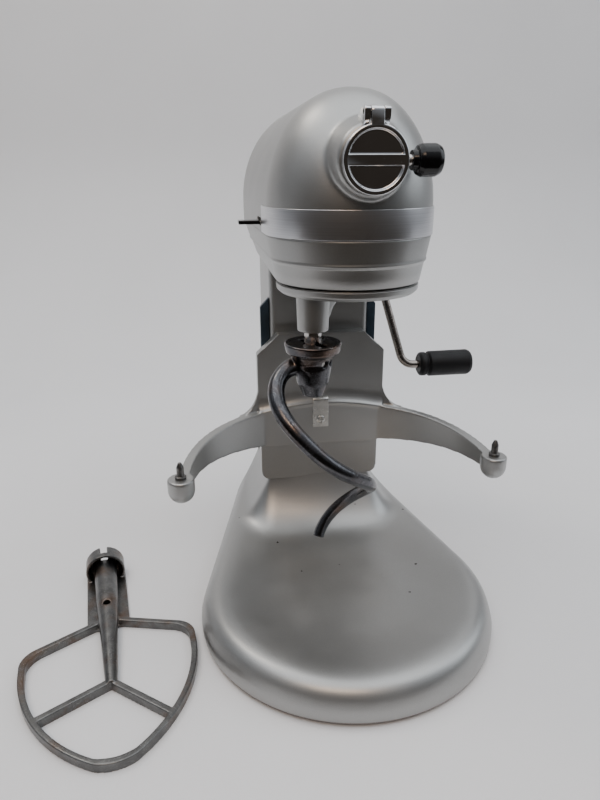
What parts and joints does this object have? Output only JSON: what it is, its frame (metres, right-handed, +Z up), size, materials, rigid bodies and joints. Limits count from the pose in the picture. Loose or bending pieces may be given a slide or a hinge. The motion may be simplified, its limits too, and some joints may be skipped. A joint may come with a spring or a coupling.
{
  "type": "bowl-lift stand mixer",
  "caption": "Bowl-lift stand mixer: cast base and column, fixed motor head with planetary gearing, dough hook, arms that carry a bowl, lift handle, attachment hub and a flat beater.",
  "frame": {"origin": "on the floor directly under the planetary axis, which is the centre of the bowl", "axes": "+X to the viewer's right facing the mixer, +Y towards its column and back, +Z up along the planetary axis"},
  "size_m": [0.4269, 0.3775, 0.4188],
  "materials": {
    "painted_casting": "satin metallic silver enamel",
    "trim_aluminium": "brushed",
    "burnished_aluminium": "burnished, darkened by use",
    "polished_steel": "polished",
    "chrome": "mirror",
    "zinc_steel": "zinc plated",
    "dark_rail": "blue-grey coat",
    "black_plastic": "gloss",
    "grip_plastic": "matte",
    "rubber": "matte",
    "gear_steel": "machined and greased",
    "bearing_steel": "ground",
    "laminations": "varnished laminations",
    "bracket_casting": "as cast",
    "bronze": "sintered",
    "carbon": "pressed carbon",
    "fan_nylon": "moulded"
  },
  "bodies": {
    "stand": {"pedestal": "painted_casting", "rubber_feet": "rubber", "foot_screws": "zinc_steel", "guide_rails": "dark_rail", "rail_screws": "zinc_steel", "head_bolts": "zinc_steel", "cord_gland": "grip_plastic", "gearcase": "painted_casting", "upper_housing": "painted_casting", "rear_cover": "painted_casting", "trim_band": "trim_aluminium", "hub_hinge_pin": "chrome", "hub_bearing": "bearing_steel", "ring_gear": "gear_steel", "drip_ring": "painted_casting", "spindle_bearings": "bearing_steel", "bearing_plate": "bracket_casting", "motor_stator": "laminations", "motor_brackets": "bracket_casting", "motor_bearings": "bearing_steel", "rear_cover_screw": "zinc_steel", "carbon_brushes": "carbon", "brush_holders": "bronze", "speed_pivot": "zinc_steel", "shaft_bush": "bronze"},
    "planetary": {"planetary_housing": "painted_casting", "planetary_shaft": "gear_steel", "centre_gear": "gear_steel", "bevel_gear": "gear_steel"},
    "beater_drive": {"beater_shaft": "polished_steel", "planet_pinion": "gear_steel", "cross_pin": "polished_steel"},
    "hook": {"dough_hook": "burnished_aluminium"},
    "idler": {"worm_wheel_shaft": "gear_steel", "worm_wheel": "bronze", "drive_pinion": "gear_steel"},
    "armature": {"motor_armature": "laminations", "motor_fan": "fan_nylon"},
    "hub_drive": {"hub_drive_socket": "gear_steel"},
    "cover": {"hub_cover": "chrome"},
    "hub_knob": {"attachment_knob": "black_plastic", "knob_stem": "polished_steel"},
    "speed_control": {"speed_lever": "polished_steel", "speed_knob": "black_plastic"},
    "bowl_support": {"yoke": "painted_casting", "slide_gibs": "zinc_steel", "gib_screws": "zinc_steel", "locating_pins": "gear_steel", "latch_bracket": "zinc_steel", "latch_screw": "zinc_steel", "lift_link": "zinc_steel", "lift_bracket": "zinc_steel"},
    "lift_handle": {"lift_shaft": "polished_steel", "lift_crank": "gear_steel", "crank_pin": "gear_steel", "lift_lever": "polished_steel", "lift_grip": "grip_plastic"},
    "beater": {"flat_beater": "burnished_aluminium"}
  },
  "joints": [
    {"name": "planetary_spin", "type": "hinge", "parent": "stand", "child": "planetary", "pos_m": [0, 0, 0.29], "axis": [0, 0, 1], "continuous": true},
    {"name": "beater_spin", "type": "hinge", "parent": "planetary", "child": "beater_drive", "pos_m": [-0.02938, -0.0208, 0.29], "axis": [0, 0, 1], "continuous": true},
    {"name": "hook_release", "type": "slide", "parent": "beater_drive", "child": "hook", "axis": [0, 0, -1], "range_m": [0, 0.032]},
    {"name": "idler_spin", "type": "hinge", "parent": "stand", "child": "idler", "pos_m": [-0.022, 0.03926, 0.34], "axis": [0, 0, 1], "continuous": true},
    {"name": "armature_spin", "type": "hinge", "parent": "stand", "child": "armature", "pos_m": [0, 0.13, 0.355], "axis": [0, 1, 0], "continuous": true},
    {"name": "hub_drive_spin", "type": "hinge", "parent": "stand", "child": "hub_drive", "pos_m": [0, -0.03, 0.3716], "axis": [0, 1, 0], "continuous": true},
    {"name": "hub_cover_hinge", "type": "hinge", "parent": "stand", "child": "cover", "pos_m": [0, -0.0692, 0.3983], "axis": [1, 0, 0], "range_deg": [-110, 0]},
    {"name": "attachment_knob_turn", "type": "hinge", "parent": "stand", "child": "hub_knob", "pos_m": [0.03, -0.06, 0.3716], "axis": [1, 0, 0], "continuous": true},
    {"name": "speed_lever_swing", "type": "hinge", "parent": "stand", "child": "speed_control", "pos_m": [-0.034, 0.028, 0.33], "axis": [0, 0, 1], "range_deg": [-28, 0]},
    {"name": "handle_swing", "type": "hinge", "parent": "stand", "child": "lift_handle", "pos_m": [0.055, 0.15, 0.262], "axis": [1, 0, 0], "range_deg": [0, 150]},
    {"name": "bowl_lift", "type": "slide", "parent": "stand", "child": "bowl_support", "axis": [0, 0, 1], "range_m": [0, 0.02918]},
    {"name": "beater_put_away", "type": "slide", "parent": "stand", "child": "beater", "axis": [0, 0, 1], "range_m": [0, 0.1]}
  ],
  "couplings": [
    {"joint": "beater_spin", "follows": "planetary_spin", "ratio": -5},
    {"joint": "idler_spin", "follows": "planetary_spin", "ratio": -3.2857},
    {"joint": "armature_spin", "follows": "planetary_spin", "ratio": 65.714},
    {"joint": "hub_drive_spin", "follows": "planetary_spin", "ratio": -1.5},
    {"joint": "bowl_lift", "follows": "handle_swing", "m_per_rad": 0.011069}
  ]
}
